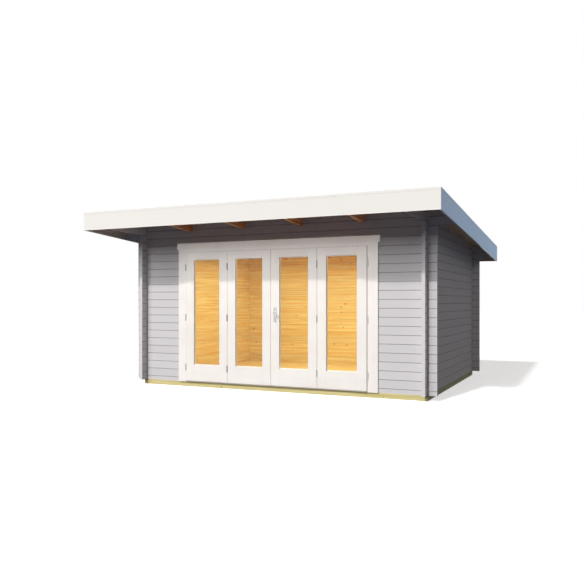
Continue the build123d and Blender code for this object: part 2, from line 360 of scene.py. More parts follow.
# Polyester-coated steel sheet, roll-formed: smooth and even, with very shallow waves
fasciaSheet = {
    "front": "#F3F0EA",
    # The sides' colour is the same white sheet tinted cool: a painted reflection of the blue sky
    "side": "#F4F6F9",
    "waveScale": 1.6,
    "waveDetail": 1.0,
    "darkest": 0.985,
    "palest": 1.01,
    "smoothest": 0.18,
    "roughest": 0.28,
    "relief": 0.2,
    "reliefDeep": 1.0 * mm,
}


def sheetMaterial(name, colourCode):
    look = fasciaSheet
    material, tree = newMaterial(name)
    place = addNode(tree, "ShaderNodeTexCoord").outputs["Object"]
    waves = addNode(tree, "ShaderNodeTexNoise",
                    values={"Scale": look["waveScale"], "Detail": look["waveDetail"]},
                    links={0: place})
    rough = addNode(tree, "ShaderNodeMapRange", values={3: look["smoothest"], 4: look["roughest"]},
                    links={0: waves.outputs[0]})
    tone = addNode(tree, "ShaderNodeMapRange", values={3: look["darkest"], 4: look["palest"]},
                   links={0: waves.outputs[0]})
    colour = addNode(tree, "ShaderNodeHueSaturation", values={"Color": hexColour(colourCode)},
                     links={"Value": tone.outputs[0]})
    finishMaterial(tree, {"IOR": coatIor},
                   {"Base Color": colour.outputs[0], "Roughness": rough.outputs[0],
                    "Normal": addRelief(tree, look, waves.outputs[0])})
    return material


# Satin metal, rolled or turned: fine brush lines stretch its highlight
brushLines = {
    "stretch": (12, 900, 900),
    "detail": 2.0,
    "smoother": 0.08,
    "rougher": 0.1,
    "relief": 0.15,
    "reliefDeep": 0.1 * mm,
}


def metalMaterial(name, colourCode, roughness, lineAxis):
    look = brushLines
    material, tree = newMaterial(name)
    place = grainPlace(tree, lineAxis)
    fine = addNode(tree, "ShaderNodeVectorMath", {"operation": "MULTIPLY"}, {1: look["stretch"]},
                   {0: place})
    lines = addNode(tree, "ShaderNodeTexNoise", values={"Scale": 1.0, "Detail": look["detail"]},
                    links={0: fine.outputs[0]})
    rough = addNode(tree, "ShaderNodeMapRange",
                    values={3: roughness - look["smoother"], 4: roughness + look["rougher"]},
                    links={0: lines.outputs[0]})
    finishMaterial(tree, {"Base Color": hexColour(colourCode), "Metallic": 1.0},
                   {"Roughness": rough.outputs[0],
                    "Normal": addRelief(tree, look, lines.outputs[0])})
    return material


# Clear float glass, with a breath of haze here and there. Light rays that shade other things pass
# straight through, as in a real window.
paneGlass = {
    "tint": "#FBFDFC",
    "through": "#F6FAF8",
    "ior": 1.52,
    "hazeScale": 3.0,
    "hazeDetail": 3.0,
    "clearBelow": 0.62,
    "hazeAbove": 0.9,
    "roughest": 0.01,
}


def glassMaterial(name):
    look = paneGlass
    material, tree = newMaterial(name)
    place = addNode(tree, "ShaderNodeTexCoord").outputs["Object"]
    haze = addNode(tree, "ShaderNodeTexNoise",
                   values={"Scale": look["hazeScale"], "Detail": look["hazeDetail"]},
                   links={0: place})
    rough = addNode(tree, "ShaderNodeMapRange",
                    values={1: look["clearBelow"], 2: look["hazeAbove"], 3: 0.0,
                            4: look["roughest"]},
                    links={0: haze.outputs[0]})
    glass = addNode(tree, "ShaderNodeBsdfPrincipled",
                    values={"Base Color": hexColour(look["tint"]), "IOR": look["ior"],
                            "Transmission Weight": 1.0},
                    links={"Roughness": rough.outputs[0]})
    clear = addNode(tree, "ShaderNodeBsdfTransparent", values={"Color": hexColour(look["through"])})
    rays = addNode(tree, "ShaderNodeLightPath")
    passing = addNode(tree, "ShaderNodeMath", {"operation": "MAXIMUM"},
                      links={0: rays.outputs["Is Shadow Ray"], 1: rays.outputs["Is Diffuse Ray"]})
    mixed = addNode(tree, "ShaderNodeMixShader",
                    links={0: passing.outputs[0], 1: glass.outputs[0], 2: clear.outputs[0]})
    addNode(tree, "ShaderNodeOutputMaterial", links={"Surface": mixed.outputs[0]})
    return material


# Roofing felt with mineral granules: matt dark grey, speckled; each sheet has its own tone and
# a little dust lies on it
roofFelt = {
    "dark": "#4C4D51",
    "pale": "#6E7074",
    "bitumen": "#1E1E20",
    "dustScale": 3.5,
    "dustDetail": 6.0,
    "dustUneven": 0.65,
    "gritScale": 220.0,
    "gritDetail": 2.0,
    "gritShare": 0.8,
    "darkBelow": 0.34,
    "paleAbove": 0.7,
    "darkSheet": 0.86,
    "paleSheet": 1.12,
    "seamCore": 0.012,
    "seamEnd": 0.02,
    "seamShade": 0.7,
    "roughness": 0.85,
    "relief": 0.35,
    "reliefDeep": 0.5 * mm,
}


def feltMaterial(name, start, sheet):
    look = roofFelt
    material, tree = newMaterial(name)
    place = addNode(tree, "ShaderNodeTexCoord").outputs["Object"]
    split = addNode(tree, "ShaderNodeSeparateXYZ", links={0: place})
    number, counted = boardNumber(tree, split.outputs[1], start, sheet)
    dust = addNode(tree, "ShaderNodeTexNoise",
                   values={"Scale": look["dustScale"], "Detail": look["dustDetail"],
                           "Roughness": look["dustUneven"]},
                   links={0: place})
    grit = addNode(tree, "ShaderNodeTexNoise",
                   values={"Scale": look["gritScale"], "Detail": look["gritDetail"]},
                   links={0: place})
    mixed = addNode(tree, "ShaderNodeMix", {"data_type": "FLOAT"}, {0: look["gritShare"]},
                    {2: dust.outputs[0], 3: grit.outputs[0]})
    tone = addNode(tree, "ShaderNodeMapRange", values={1: look["darkBelow"], 2: look["paleAbove"]},
                   links={0: mixed.outputs[0]})
    colour = addNode(tree, "ShaderNodeMix", {"data_type": "RGBA"},
                     {6: hexColour(look["dark"]), 7: hexColour(look["pale"])}, {0: tone.outputs[0]})
    chance = addNode(tree, "ShaderNodeTexWhiteNoise", {"noise_dimensions": "1D"},
                     links={"W": number})
    bright = addNode(tree, "ShaderNodeMapRange",
                     values={3: look["darkSheet"], 4: look["paleSheet"]},
                     links={0: chance.outputs[0]})
    toned = addNode(tree, "ShaderNodeHueSaturation",
                    links={"Value": bright.outputs[0], "Color": colour.outputs[2]})
    # Bitumen shows as a dark line along each lap
    part = addNode(tree, "ShaderNodeMath", {"operation": "FRACT"}, links={0: counted})
    seam = addNode(tree, "ShaderNodeMapRange",
                   values={1: look["seamCore"], 2: look["seamEnd"], 3: look["seamShade"], 4: 0.0},
                   links={0: part.outputs[0]})
    lapped = addNode(tree, "ShaderNodeMix", {"data_type": "RGBA"}, {7: hexColour(look["bitumen"])},
                     {0: seam.outputs[0], 6: toned.outputs[0]})
    finishMaterial(tree, {"Roughness": look["roughness"], "IOR": coatIor},
                   {"Base Color": lapped.outputs[2],
                    "Normal": addRelief(tree, look, grit.outputs[0])})
    return material


# Soft seal: extruded rubber with a dull skin
rubber = {"skinScale": 90.0, "skinDetail": 2.0, "smoothest": 0.6, "roughest": 0.8}


def sealMaterial(name, colourA, colourB):
    material, tree = newMaterial(name)
    place = addNode(tree, "ShaderNodeTexCoord").outputs["Object"]
    skin = addNode(tree, "ShaderNodeTexNoise",
                   values={"Scale": rubber["skinScale"], "Detail": rubber["skinDetail"]},
                   links={0: place})
    rough = addNode(tree, "ShaderNodeMapRange",
                    values={3: rubber["smoothest"], 4: rubber["roughest"]},
                    links={0: skin.outputs[0]})
    colour = addNode(tree, "ShaderNodeMix", {"data_type": "RGBA"},
                     {6: hexColour(colourA), 7: hexColour(colourB)}, {0: skin.outputs[0]})
    finishMaterial(tree, {"IOR": coatIor},
                   {"Base Color": colour.outputs[2], "Roughness": rough.outputs[0]})
    return material


# The room's span, up to the middle of the walls, for the change from paint to bare wood
leftLow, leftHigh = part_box("left_wall")
rightLow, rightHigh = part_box("right_wall")
frontLow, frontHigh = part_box("front_wall_left")
backLow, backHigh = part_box("back_wall")
roomSpan = {
    "x": ((leftLow.x + leftHigh.x) / 2, (rightLow.x + rightHigh.x) / 2),
    "y": ((frontLow.y + frontHigh.y) / 2, (backLow.y + backHigh.y) / 2),
}
wallBase = frontLow.z


# How far edges are rounded, and the angles in degrees from which an edge is rounded or kept sharp
edges = {
    "timber": 2 * mm,
    "rafter": 2.5 * mm,
    "metal": 1.5 * mm,
    "segments": 2,
    "profile": 0.6,
    "roundedFrom": 40.0,
    "sharpFrom": 35.0,
}


# Gives a node of the CAD its material and softens its edges
def dress(nodeName, material, edge=0.0):
    node = frame["nodes"][nodeName]
    node.data.materials.clear()
    node.data.materials.append(material)
    if edge:
        bevel = node.modifiers.new("edge", "BEVEL")
        bevel.width = edge
        bevel.segments = edges["segments"]
        bevel.limit_method = "ANGLE"
        bevel.angle_limit = math.radians(edges["roundedFrom"])


# One mesh object from a bmesh, riding on the pod
def makePiece(name, mesh, material, slotName, *nodes):
    data = bpy.data.meshes.new(name)
    bmesh.ops.recalc_face_normals(mesh, faces=mesh.faces)
    mesh.to_mesh(data)
    mesh.free()
    data.shade_smooth()
    data.set_sharp_from_angle(angle=math.radians(edges["sharpFrom"]))
    data.materials.append(material)
    piece = bpy.data.objects.new(name, data)
    bpy.context.scene.collection.objects.link(piece)
    # Broad faces keep their own normal, so that the rounded edges don't tint them
    evened = piece.modifiers.new("even faces", "WEIGHTED_NORMAL")
    evened.keep_sharp = True
    if nodes:
        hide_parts(*nodes)
    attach(piece, "root")
    return piece


# A board with softened edges, added to a mesh
def addBoard(mesh, low, high, edge):
    middle = [(a + b) / 2 for a, b in zip(low, high)]
    size = [b - a for a, b in zip(low, high)]
    matrix = Matrix.Translation(middle) @ Matrix.Diagonal((*size, 1.0))
    corners = bmesh.ops.create_cube(mesh, size=1.0, matrix=matrix)["verts"]
    if edge:
        around = list({e for v in corners for e in v.link_edges})
        bmesh.ops.bevel(mesh, geom=around, offset=edge, segments=edges["segments"],
                        profile=edges["profile"], affect="EDGES")


# A closed outline in the YZ plane, drawn out along X
def addProfile(mesh, outline, start, end):
    rings = [[mesh.verts.new((x, y, z)) for y, z in outline] for x in (start, end)]
    count = len(outline)
    for i in range(count):
        j = (i + 1) % count
        mesh.faces.new((rings[0][i], rings[0][j], rings[1][j], rings[1][i]))
    mesh.faces.new(rings[0])
    mesh.faces.new(rings[1])


# Log walls; the joints of front and back lie half a course off those of the sides
frontJoint = wallBase - logWall["course"] / 2
frontLogs = logMaterial("painted spruce logs, front and back", "X", frontJoint)
sideLogs = logMaterial("painted spruce logs, sides", "Y", wallBase)
for nodeName in ("front_wall_left", "front_wall_right", "front_wall_top", "back_wall"):
    dress(nodeName, frontLogs)
for nodeName in ("left_wall", "right_wall"):
    dress(nodeName, sideLogs)
print("log walls dressed")

# Single timbers aren't counted as boards; their tone changes on a grid of this width
timberGrid = 0.5

# Base: sawn pine bearers, pressure treated, yellow-green
treated = dict(pine, pale="#EEDEA6", deep="#C4B870", knot="#6E5426", roughness=0.75)
bearerLong = boardMaterial("treated pine, long", "X", "Y", 0.0, timberGrid, treated)
# The bearers running front to back get a darker, greener copy of the treated pine: painted shade
treatedPaintedShade = dict(treated, pale="#A8AE82", deep="#888C60")
bearerPaintedShade = boardMaterial("treated pine, deep", "Y", "X", 0.0, timberGrid, treatedPaintedShade)
for nodeName in ("bearer_front", "bearer_back"):
    dress(nodeName, bearerLong, edges["timber"])
for nodeName in ("bearer_left", "bearer_right", "floor_joists"):
    dress(nodeName, bearerPaintedShade, edges["timber"])

# Floor: planed tongued boards across the joists
floorBoards = {"width": 106 * mm, "edge": 1.2 * mm}
low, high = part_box("floor_boards")
count = round((high.y - low.y) / floorBoards["width"])
pitch = (high.y - low.y) / count
mesh = bmesh.new()
for i in range(count):
    y0 = low.y + i * pitch
    y1 = y0 + pitch
    e = floorBoards["edge"]
    outline = [(y0, low.z), (y1, low.z), (y1, high.z - e), (y1 - e, high.z), (y0 + e, high.z),
               (y0, high.z - e)]
    addProfile(mesh, outline, low.x, high.x)
floorPine = boardMaterial("planed pine floor", "X", "Y", low.y, pitch, pine)
makePiece("floorPlanks", mesh, floorPine, "floor_pine", "floor_boards")

# Roof boards: tongued pine, V joints below, laid across the rafters and following the fall
roofBoards = {"width": 112 * mm, "thick": 18 * mm, "vee": 4 * mm}
roofPine = dict(pine, pale="#E4CBA2", deep="#C4A27A", roughness=0.5)
boardsLow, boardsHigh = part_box("roof_boards")
fall = (boardsHigh.z - boardsLow.z - roofBoards["thick"]) / (boardsHigh.y - boardsLow.y)


# Height of the boards' lower face at a place between front and back
def roofUnder(y):
    return boardsHigh.z - roofBoards["thick"] - fall * (y - boardsLow.y)


count = round((boardsHigh.y - boardsLow.y) / roofBoards["width"])
pitch = (boardsHigh.y - boardsLow.y) / count
mesh = bmesh.new()
for i in range(count):
    y0 = boardsLow.y + i * pitch
    y1 = y0 + pitch
    v = roofBoards["vee"]
    t = roofBoards["thick"]
    outline = [(y0, roofUnder(y0) + t), (y0, roofUnder(y0) + v), (y0 + v, roofUnder(y0 + v)),
               (y1 - v, roofUnder(y1 - v)), (y1, roofUnder(y1) + v), (y1, roofUnder(y1) + t)]
    addProfile(mesh, outline, boardsLow.x, boardsHigh.x)
boardPine = boardMaterial("tongued roof boards", "X", "Y", boardsLow.y, pitch, roofPine)
makePiece("roofPlanks", mesh, boardPine, "roof_pine", "roof_boards")

# Rafters: planed pine, a warmer tone than the boards on them
rafterLook = dict(pine, pale="#FABA80", deep="#E08C4C", roughness=0.5)
rafterPine = boardMaterial("planed pine rafters", "Y", "X", 0.0, timberGrid, rafterLook)
for i in range(1, 5):
    dress(f"rafter_{i}", rafterPine, edges["rafter"])

# Roof covering: sheets of felt laid across the fall, each lapped over the one below it
covering = {"sheet": 900 * mm, "lap": 80 * mm, "thick": 2.2 * mm, "ramp": 10 * mm}
roofLow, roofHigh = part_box("roof_covering")


def coverUnder(y):
    return roofUnder(y) + roofBoards["thick"]


mesh = bmesh.new()
t = covering["thick"]
y0 = roofLow.y
while y0 < roofHigh.y - 1 * mm:
    y1 = min(y0 + covering["sheet"], roofHigh.y)
    outline = [(y0, coverUnder(y0)), (y1, coverUnder(y1))]
    if y1 < roofHigh.y:
        knee = y1 - covering["lap"]
        foot = knee - covering["ramp"]
        outline += [(y1, coverUnder(y1) + 2 * t), (knee, coverUnder(knee) + 2 * t),
                    (foot, coverUnder(foot) + t)]
    else:
        outline.append((y1, coverUnder(y1) + t))
    outline.append((y0, coverUnder(y0) + t))
    addProfile(mesh, outline, roofLow.x, roofHigh.x)
    y0 = y1
felt = feltMaterial("granule-faced roofing felt", roofLow.y, covering["sheet"])
makePiece("roofMembrane", mesh, felt, "roofing_sheet", "roof_covering")
print("base, floor and roof boards made")

# Fascias: coated sheet with a folded hem at the top and a turned drip edge below, mitred at the
# corners. The board behind the side fascias is paler than the roof boards.
fasciaForm = {"hem": 26 * mm, "fold": 2 * mm, "drip": 10 * mm, "proud": 1.6 * mm}
frontSheet = sheetMaterial("coated fascia sheet, front", fasciaSheet["front"])
sideSheetSkyTint = sheetMaterial("coated fascia sheet, sides", fasciaSheet["side"])
backingLook = dict(pine, pale="#EFE2D6", deep="#D6C2B0", roughness=0.5)
backingPine = boardMaterial("fascia backing board", "Y", "X", 0.0, timberGrid, backingLook)
foreLow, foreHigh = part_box("fascia_front")
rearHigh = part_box("fascia_back")[1]
fasciaThick = foreHigh.y - foreLow.y
fasciaDeep = foreHigh.z - foreLow.z


# How far a side fascia has fallen at a place, from the corner at the end that is drawn
def sideFall(y, end):
    corner = foreLow.y if end < 0 else rearHigh.y
    return fall * (y - corner)


# The sheet is drawn from one mitre to the other and wraps a pine board, bare on the soffit's side
def makeFascia(name, nodeName, outward, startTop, endTop, material, backing):
    low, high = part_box(nodeName)
    alongX = nodeName in ("fascia_front", "fascia_back")
    hem = fasciaForm["hem"]
    proud = fasciaForm["proud"]
    drip = fasciaForm["drip"]
    section = [(0.0, 0.0), (0.0, -hem), (proud, -hem - fasciaForm["fold"]),
               (proud, drip - fasciaDeep), (0.0, drip / 2 - fasciaDeep), (0.0, -fasciaDeep),
               (fasciaThick, -fasciaDeep), (fasciaThick, 0.0)]
    mesh = bmesh.new()
    rings = []
    for end, topLevel in ((-1, startTop), (1, endTop)):
        ring = []
        for inward, down in section:
            if alongX:
                y = (low.y + inward) if outward < 0 else (high.y - inward)
                x = end * (foreHigh.x - inward)
                ring.append(mesh.verts.new((x, y, topLevel + down)))
            else:
                x = (low.x + inward) if outward < 0 else (high.x - inward)
                y = (foreLow.y + inward) if end < 0 else (rearHigh.y - inward)
                ring.append(mesh.verts.new((x, y, topLevel + down - sideFall(y, end))))
        rings.append(ring)
    count = len(section)
    for i in range(count):
        j = (i + 1) % count
        face = mesh.faces.new((rings[0][i], rings[0][j], rings[1][j], rings[1][i]))
        inner = section[i][0] == fasciaThick and section[j][0] == fasciaThick
        face.material_index = 1 if inner else 0
    mesh.faces.new(rings[0])
    mesh.faces.new(rings[1])
    piece = makePiece(name, mesh, material, "white_fascia", nodeName)
    piece.data.materials.append(backing)


makeFascia("fasciaFront", "fascia_front", -1, foreHigh.z, foreHigh.z, frontSheet, boardPine)
makeFascia("fasciaBack", "fascia_back", 1, rearHigh.z, rearHigh.z, frontSheet, boardPine)
makeFascia("fasciaLeft", "fascia_left", -1, foreHigh.z, rearHigh.z, sideSheetSkyTint, backingPine)
makeFascia("fasciaRight", "fascia_right", 1, foreHigh.z, rearHigh.z, sideSheetSkyTint, backingPine)
print("fascias made")

# Door frame and casings
paintUp = joineryMaterial("white joinery paint, upright", "Z")
paintAcross = joineryMaterial("white joinery paint, level", "X")
for nodeName in ("door_jamb_left", "door_jamb_right", "casing_left", "casing_right"):
    dress(nodeName, paintUp, edges["timber"])
for nodeName in ("door_head", "casing_head"):
    dress(nodeName, paintAcross, edges["timber"])
threshold = {"colour": "#D6CEC2", "roughness": 0.42}
thresholdMetal = metalMaterial("anodised aluminium threshold", threshold["colour"],
                               threshold["roughness"], "X")
dress("door_threshold", thresholdMetal, edges["metal"])

# Door leaves: stiles, rails and glazing beads as separate boards, so their joints show
leafForm = {
    "stile": 128 * mm,
    "topRail": 110 * mm,
    "bottomRail": 233 * mm,
    "lowBoard": 116 * mm,
    "edge": 1.2 * mm,
    "joint": 0.15 * mm,
    "bead": 9 * mm,
    "beadEdge": 1.5 * mm,
    "paneSetback": 28 * mm,
    "paneThick": 4 * mm,
}


def makeLeaf(number):
    low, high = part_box(f"door_leaf_{number}")
    f = leafForm
    joint = f["joint"]
    x0 = low.x + f["stile"]
    x1 = high.x - f["stile"]
    sightLow = low.z + f["bottomRail"]
    sightHigh = high.z - f["topRail"]
    split = low.z + f["lowBoard"]
    mesh = bmesh.new()
    for a, b in ((low.x, x0 - joint), (x1 + joint, high.x)):
        addBoard(mesh, (a, low.y, low.z), (b, high.y, high.z), f["edge"])
    for a, b in ((low.z, split - joint), (split + joint, sightLow), (sightHigh, high.z)):
        addBoard(mesh, (x0 + joint, low.y, a), (x1 - joint, high.y, b), f["edge"])
    # Beads on the room side hold the pane
    bead = f["bead"]
    back = low.y + f["paneSetback"] + f["paneThick"]
    for a, b in ((x0, x0 + bead), (x1 - bead, x1)):
        addBoard(mesh, (a, back, sightLow), (b, back + bead, sightHigh), f["beadEdge"])
    for a, b in ((sightLow, sightLow + bead), (sightHigh - bead, sightHigh)):
        addBoard(mesh, (x0 + bead, back, a), (x1 - bead, back + bead, b), f["beadEdge"])
    makePiece(f"doorLeaf{number}", mesh, paintUp, "white_joinery", f"door_leaf_{number}")


clearGlass = glassMaterial("clear float glass")
for number in range(1, 5):
    makeLeaf(number)
    dress(f"door_pane_{number}", clearGlass)

# Rubber seals close the gaps: dark ones between the leaves, white ones beside the casings. A dark
# strip over the leaves' tops is painted shade under the head.
sealForm = {
    "setback": 7 * mm,
    "deep": 10 * mm,
    "side": 6 * mm,
    "frameSetback": 3 * mm,
    "strip": 2 * mm,
    "stripHigh": 3.7 * mm,
}
leafBoxes = [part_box(f"door_leaf_{i}") for i in range(1, 5)]
doorLow = leafBoxes[0][0]
doorHigh = leafBoxes[-1][1]
y0 = doorLow.y + sealForm["setback"]
mesh = bmesh.new()
for leaf, nextLeaf in zip(leafBoxes, leafBoxes[1:]):
    addBoard(mesh, (leaf[1].x, y0, doorLow.z),
             (nextLeaf[0].x, y0 + sealForm["deep"], doorHigh.z), 0.0)
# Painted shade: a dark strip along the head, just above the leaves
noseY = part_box("door_head")[0].y
addBoard(mesh, (doorLow.x, noseY - sealForm["strip"], doorHigh.z),
         (doorHigh.x, noseY, doorHigh.z + sealForm["stripHigh"]), 0.0)
darkSeal = sealMaterial("dark rubber seal", "#3C3B3A", "#4A4948")
makePiece("leafSeals", mesh, darkSeal, "hinge_steel")
mesh = bmesh.new()
y0 = doorLow.y + sealForm["frameSetback"]
for x0 in (doorLow.x - sealForm["side"], doorHigh.x):
    x1 = x0 + sealForm["side"]
    addBoard(mesh, (x0, y0, doorLow.z), (x1, y0 + sealForm["deep"], doorHigh.z), 0.0)
whiteSeal = sealMaterial("white rubber seal", "#DAD8D5", "#E4E2DF")
makePiece("frameSeals", mesh, whiteSeal, "white_joinery")
print("door made")

# Hinges: three-part knuckles with domed pins
hingeForm = {
    "radius": 7 * mm,
    "dome": ((0.35, 0.0), (0.8, 1 * mm), (0.97, 3 * mm)),
    "barrel": 0.97,
    "waist": 0.78,
    "gap": 1.2 * mm,
    "gapFlat": 0.6,
    "sides": 24,
    "high": 96 * mm,
    "middle": 918 * mm,
    "leaf": 2.5 * mm,
    "leafEdge": 0.4 * mm,
    "plate": 3 * mm,
    "plateEdge": 0.6 * mm,
    "inset": 2 * mm,
}
# One zinc-plated steel with its own tone on each line: painted light and shade, darker on the left
# and middle lines, palest on the right casing
hingeLook = {"paintedShadeTones": {1: "#A6A6A8", 2: "#96989C", 3: "#AEB0B3", 4: "#F2F2F2"}, "roughness": 0.45}


# An outline of radii and heights turned round an upright axis
def addTurned(mesh, x, y, outline, sides):
    rings = []
    for radius, z in outline:
        ring = []
        for i in range(sides):
            turn = 2 * math.pi * i / sides
            spot = (x + radius * math.cos(turn), y + radius * math.sin(turn), z)
            ring.append(mesh.verts.new(spot))
        rings.append(ring)
    for a, b in zip(rings, rings[1:]):
        for i in range(sides):
            j = (i + 1) % sides
            mesh.faces.new((a[i], a[j], b[j], b[i]))
    mesh.faces.new(rings[0])
    mesh.faces.new(rings[-1])


# One barrel from foot to top; the dome's pairs are a share of the radius and the way from the end
def knuckleOutline(z0, z1):
    r = hingeForm["radius"]
    barrel = r * hingeForm["barrel"]
    waist = r * hingeForm["waist"]
    gap = hingeForm["gap"]
    flat = gap * hingeForm["gapFlat"]
    third = (z1 - z0) / 3
    outline = [(r * share, z0 + way) for share, way in hingeForm["dome"]]
    for k in (1, 2):
        z = z0 + k * third
        outline += [(barrel, z - gap), (waist, z - flat), (waist, z + flat), (barrel, z + gap)]
    outline += [(r * share, z1 - way) for share, way in reversed(hingeForm["dome"])]
    return outline


for line in range(1, 5):
    low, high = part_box(f"door_hinges_{line}")
    # The outer lines lie on the casings, with a plate towards the leaf
    onCasing = line in (1, 4)
    x = (low.x + high.x) / 2
    if onCasing:
        x = high.x - hingeForm["radius"] if line == 4 else low.x + hingeForm["radius"]
    y = low.y + hingeForm["radius"]
    inset = hingeForm["inset"]
    half = hingeForm["leaf"] / 2
    middle = doorLow.z + hingeForm["middle"]
    mesh = bmesh.new()
    for z0 in (low.z, middle - hingeForm["high"] / 2, high.z - hingeForm["high"]):
        z1 = z0 + hingeForm["high"]
        addTurned(mesh, x, y, knuckleOutline(z0, z1), hingeForm["sides"])
        if onCasing:
            ends = sorted((x, low.x if line == 4 else high.x))
            addBoard(mesh, (ends[0], high.y - hingeForm["plate"], z0 + inset),
                     (ends[1], high.y, z1 - inset), hingeForm["plateEdge"])
        else:
            addBoard(mesh, (x - half, y, z0 + inset), (x + half, high.y, z1 - inset),
                     hingeForm["leafEdge"])
    steel = metalMaterial(f"zinc-plated steel, line {line}", hingeLook["paintedShadeTones"][line],
                          hingeLook["roughness"], "Z")
    makePiece(f"doorHinges{line}", mesh, steel, "hinge_steel", f"door_hinges_{line}")

# Handle: a long plate with rounded ends and a lever
handle = {"colour": "#EDECEA", "roughness": 0.36}
handleMetal = metalMaterial("satin nickel handle", handle["colour"], handle["roughness"], "Z")
dress("handle_plate", handleMetal, edges["metal"])
dress("handle_lever", handleMetal)
print("hinges and handle made")

# Sky: its colours and brightness in reflections, the stretch over which it turns blue from front
# to back, and its strength as shade light
sky = {
    "front": "#D6D5D3",
    "behind": "#AECFF3",
    "greyBelow": 0.0,
    "blueAbove": 0.6,
    "reflected": 1.0,
    "shade": 0.16,
    "seen": "#FFFFFF",
}

# Floor of the studio: pale to the eye, calmer for the light that it throws back
floorLook = {"seen": "#FFFFFF", "thrown": "#434B5E", "glow": 0.55, "size": 60.0}
material, tree = newMaterial("studio floor")
rays = addNode(tree, "ShaderNodeLightPath")
seen = addNode(tree, "ShaderNodeMath", {"operation": "MAXIMUM"},
               links={0: rays.outputs["Is Camera Ray"], 1: rays.outputs["Is Transmission Ray"]})
floorColour = addNode(tree, "ShaderNodeMix", {"data_type": "RGBA"},
                      {6: hexColour(floorLook["thrown"]), 7: hexColour(floorLook["seen"])},
                      {0: seen.outputs[0]})
matt = addNode(tree, "ShaderNodeBsdfDiffuse", links={"Color": floorColour.outputs[2]})
glowLevel = addNode(tree, "ShaderNodeMath", {"operation": "MULTIPLY"}, {1: floorLook["glow"]},
                    {0: seen.outputs[0]})
glow = addNode(tree, "ShaderNodeEmission", links={"Strength": glowLevel.outputs[0]})
both = addNode(tree, "ShaderNodeAddShader", links={0: matt.outputs[0], 1: glow.outputs[0]})
# Mirrored in glass and metal it is as bright as the sky ahead
even = addNode(tree, "ShaderNodeEmission",
               values={"Color": hexColour(sky["front"]), "Strength": sky["reflected"]})
shown = addNode(tree, "ShaderNodeMixShader",
                links={0: rays.outputs["Is Glossy Ray"], 1: both.outputs[0], 2: even.outputs[0]})
addNode(tree, "ShaderNodeOutputMaterial", links={"Surface": shown.outputs[0]})
mesh = bmesh.new()
bmesh.ops.create_grid(mesh, x_segments=1, y_segments=1, size=floorLook["size"])
data = bpy.data.meshes.new("studioFloor")
mesh.to_mesh(data)
mesh.free()
data.materials.append(material)
studioFloor = bpy.data.objects.new("studioFloor", data)
bpy.context.scene.collection.objects.link(studioFloor)


# The way to a lamp. Its bearing is to the left of straight ahead, its height above level, both in
# degrees.
def lampWay(look):
    turn = math.radians(look["bearing"])
    rise = math.radians(look["height"])
    level = math.cos(rise)
    return Vector((-math.sin(turn) * level, -math.cos(turn) * level, math.sin(rise)))


def lampTurn(look):
    return lampWay(look).to_track_quat("Z", "Y").to_euler()


# No lamp is seen itself, and only suns show in reflections
def placeLamp(name, kind, settings, place, rotation):
    lampData = bpy.data.lights.new(name, kind)
    for setting, value in settings.items():
        setattr(lampData, setting, value)
    lamp = bpy.data.objects.new(name, lampData)
    lamp.location = place
    lamp.rotation_euler = rotation
    lamp.visible_camera = False
    lamp.visible_glossy = kind == "SUN"
    lamp.visible_transmission = False
    bpy.context.scene.collection.objects.link(lamp)
    return lamp


# A sun's light is the same wherever it stands; its place only keeps the lamps apart
def placeSun(name, sun, place, shadow=True):
    settings = {"energy": sun["strength"], "angle": math.radians(sun["size"]),
                "color": hexColour(sun["colour"])[:3], "use_shadow": shadow}
    return placeLamp(name, "SUN", settings, place, lampTurn(sun))


def placePanel(name, panel, place, rotation):
    settings = {"energy": panel["power"], "shape": "RECTANGLE", "size": panel["wide"],
                "size_y": panel["deep"], "color": hexColour(panel["colour"])[:3]}
    return placeLamp(name, "AREA", settings, place, rotation)


# Keeps a lamp's light to a group of objects
def lightOnly(lamp, group):
    lamp.light_linking.receiver_collection = group


def makeGroup(name, pieces):
    group = bpy.data.collections.new(name)
    for piece in pieces:
        group.objects.link(piece)
    return group


# A key sun from the front, a little to the left, on everything but the door
key = {"bearing": 10.0, "height": 39.2, "strength": 1.72, "size": 3.0, "colour": "#FFFCF9"}
keyLamp = placeSun("key", key, (0, 0, 5))

# The photo's door is hardly darker below the overhang, so the white door gets its own share of the
# sun. Part of it comes from lower on the right and throws no shadow.
doorKey = {"shadowed": 0.83, "even": 0.31, "bearing": -20.0, "height": 25.0}
doorNames = ("door_", "casing_", "doorLeaf", "frameSeals")
doorPieces = makeGroup("door pieces", [p for p in bpy.data.objects if p.name.startswith(doorNames)])
doorSun = dict(key, strength=key["strength"] * doorKey["shadowed"])
lightOnly(placeSun("door key", doorSun, (0.5, 0, 5)), doorPieces)
doorLift = dict(key, strength=key["strength"] * doorKey["even"], bearing=doorKey["bearing"],
                height=doorKey["height"])
lightOnly(placeSun("door lift", doorLift, (1, 0, 5), shadow=False), doorPieces)
lightOnly(keyLamp, makeGroup("all but the door", [p for p in bpy.data.objects if p.type == "MESH"
                                                  and p.name not in doorPieces.objects]))

# Fill: a broad panel far in front, a little to the left, that faces the front wall's middle
fill = {"bearing": 20.0, "height": 24.6, "away": 40.0, "aim": 1.2, "wide": 33.0, "deep": 20.0,
        "power": 10000.0, "colour": "#FFFFFF"}
placePanel("fill", fill, Vector((0, frontLow.y, fill["aim"])) + fill["away"] * lampWay(fill),
           lampTurn(fill))

# A soft second sun from behind on the right gives the shade side, the back and the roof some form
rear = {"bearing": -112.0, "height": 34.0, "strength": 0.245, "size": 50.0, "colour": "#FFECDA"}
placeSun("rear light", rear, (4, 4, 5))

